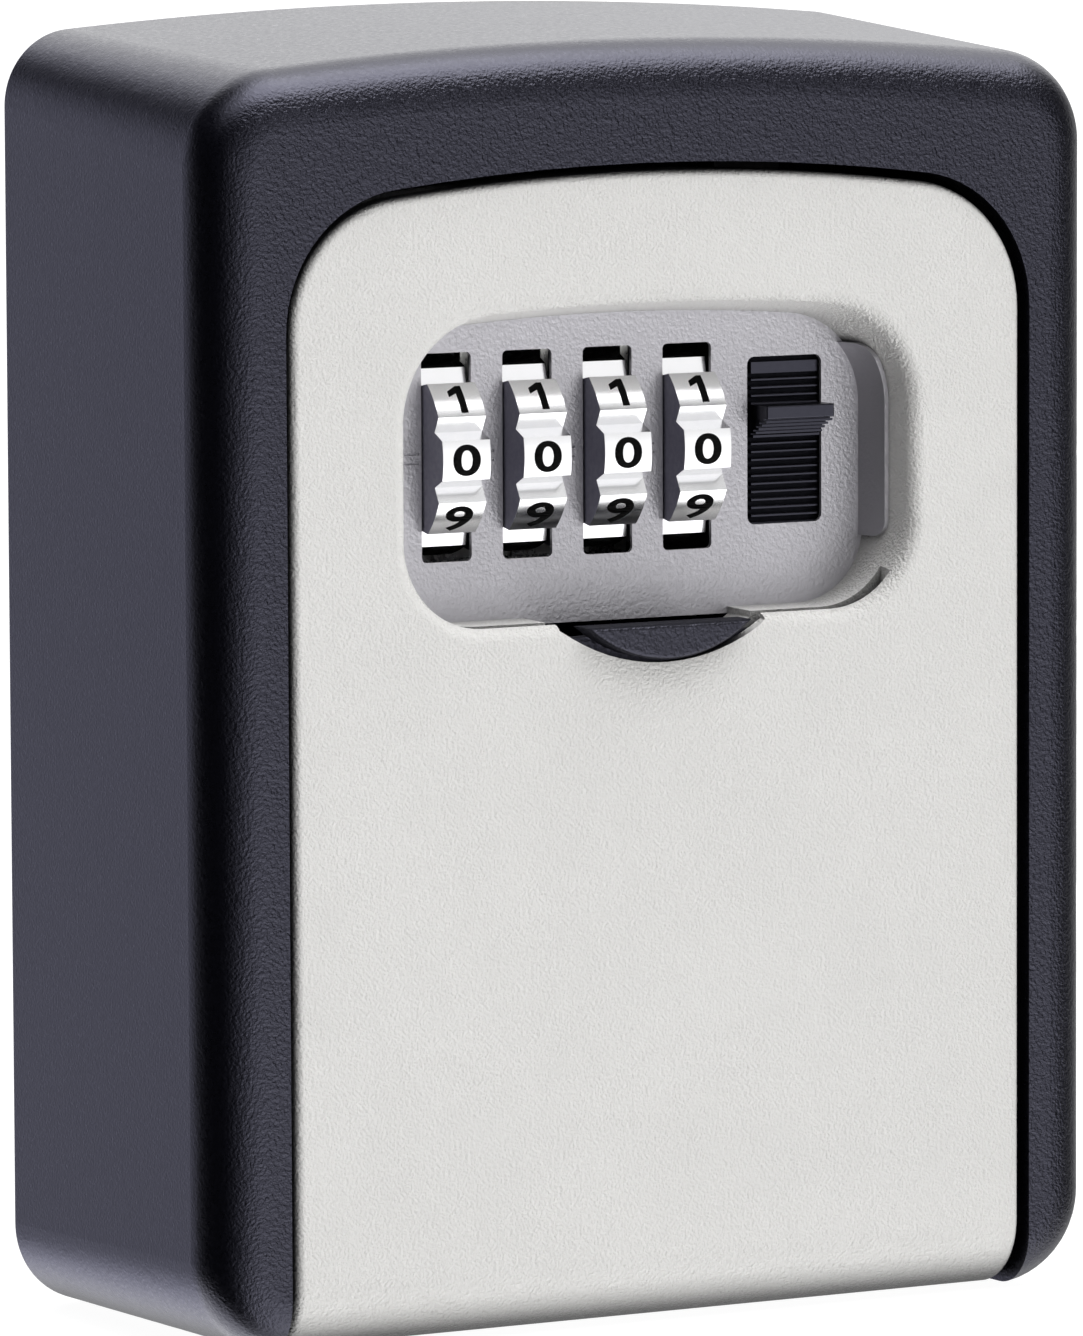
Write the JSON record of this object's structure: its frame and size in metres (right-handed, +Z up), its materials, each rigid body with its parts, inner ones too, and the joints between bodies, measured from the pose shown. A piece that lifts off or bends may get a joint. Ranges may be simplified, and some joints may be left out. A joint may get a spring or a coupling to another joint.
{
  "type": "key lock box",
  "caption": "Wall-mounted key lock box with a bottom-hinged inset door, number dials, a pull-down thumb latch and a sliding weather shutter.",
  "frame": {"origin": "centre of the flat back face that lies against the wall, at mid height", "axes": "+Z up, -Y out of the wall towards the user, +X to the right seen from the front"},
  "size_m": [0.093, 0.0419, 0.12],
  "materials": {
    "case_paint": "fine-textured powder coat, dark slate",
    "door_paint": "fine-textured powder coat, light silver-grey",
    "plate_paint": "fine-textured powder coat, mid grey",
    "dial_metal": "satin metal",
    "black_plastic": "moulded, satin",
    "shutter_plastic": "moulded, fine grain",
    "raw_zinc": "bare die casting",
    "steel": "zinc plated",
    "spring_steel": "spring wire and leaf",
    "black_oxide": "blackened steel",
    "brass": "turned"
  },
  "bodies": {
    "case": {"case_shell": "case_paint", "hinge_pins": "steel"},
    "door": {"door_shell": "door_paint", "dial_plate": "plate_paint", "lock_frame": "black_plastic", "dial_spindle": "steel", "spindle_clips": "steel", "detent_spring": "spring_steel", "lock_cover": "raw_zinc", "cover_screws": "steel", "frame_screws": "steel", "shutter_retainer": "raw_zinc", "retainer_screws": "steel", "slider_spring": "spring_steel", "sleeve_springs": "spring_steel"},
    "latch": {"latch_slide": "black_oxide", "fence_comb": "steel", "thumb_slider": "black_plastic"},
    "shutter": {"shutter": "shutter_plastic"},
    "reset": {"reset_slide": "steel"},
    "dial_1": {"dial_1": "dial_metal"},
    "dial_2": {"dial_2": "dial_metal"},
    "dial_3": {"dial_3": "dial_metal"},
    "dial_4": {"dial_4": "dial_metal"},
    "sleeve_1": {"cam_sleeve_1": "brass"},
    "sleeve_2": {"cam_sleeve_2": "brass"},
    "sleeve_3": {"cam_sleeve_3": "brass"},
    "sleeve_4": {"cam_sleeve_4": "brass"}
  },
  "joints": [
    {"name": "door_hinge", "type": "hinge", "parent": "case", "child": "door", "pos_m": [0, -0.034, -0.0533], "axis": [1, 0, 0], "range_deg": [0, 90]},
    {"name": "lever_slide", "type": "slide", "parent": "door", "child": "latch", "axis": [0, 0, 1], "range_m": [-0.0024, 0], "stiffness_N_per_m": 250, "springref_m": 0.004, "deforming": ["slider_spring"]},
    {"name": "shutter_slide", "type": "slide", "parent": "door", "child": "shutter", "axis": [0, 0, 1], "range_m": [0, 0.028]},
    {"name": "reset_shift", "type": "slide", "parent": "door", "child": "reset", "axis": [-1, 0, 0], "range_m": [0, 0.0012], "deforming": ["sleeve_springs"]},
    {"name": "dial_1_turn", "type": "hinge", "parent": "door", "child": "dial_1", "pos_m": [-0.0187, -0.0282, 0.02], "axis": [1, 0, 0], "continuous": true, "deforming": ["detent_spring"]},
    {"name": "dial_2_turn", "type": "hinge", "parent": "door", "child": "dial_2", "pos_m": [-0.0103, -0.0282, 0.02], "axis": [1, 0, 0], "continuous": true, "deforming": ["detent_spring"]},
    {"name": "dial_3_turn", "type": "hinge", "parent": "door", "child": "dial_3", "pos_m": [-0.0019, -0.0282, 0.02], "axis": [1, 0, 0], "continuous": true, "deforming": ["detent_spring"]},
    {"name": "dial_4_turn", "type": "hinge", "parent": "door", "child": "dial_4", "pos_m": [0.0065, -0.0282, 0.02], "axis": [1, 0, 0], "continuous": true, "deforming": ["detent_spring"]},
    {"name": "sleeve_1_shift", "type": "slide", "parent": "dial_1", "child": "sleeve_1", "axis": [-1, 0, 0], "range_m": [0, 0.0012], "deforming": ["sleeve_springs"]},
    {"name": "sleeve_2_shift", "type": "slide", "parent": "dial_2", "child": "sleeve_2", "axis": [-1, 0, 0], "range_m": [0, 0.0012], "deforming": ["sleeve_springs"]},
    {"name": "sleeve_3_shift", "type": "slide", "parent": "dial_3", "child": "sleeve_3", "axis": [-1, 0, 0], "range_m": [0, 0.0012], "deforming": ["sleeve_springs"]},
    {"name": "sleeve_4_shift", "type": "slide", "parent": "dial_4", "child": "sleeve_4", "axis": [-1, 0, 0], "range_m": [0, 0.0012], "deforming": ["sleeve_springs"]}
  ],
  "couplings": [
    {"joint": "sleeve_1_shift", "follows": "reset_shift", "ratio": 1},
    {"joint": "sleeve_2_shift", "follows": "reset_shift", "ratio": 1},
    {"joint": "sleeve_3_shift", "follows": "reset_shift", "ratio": 1},
    {"joint": "sleeve_4_shift", "follows": "reset_shift", "ratio": 1}
  ]
}
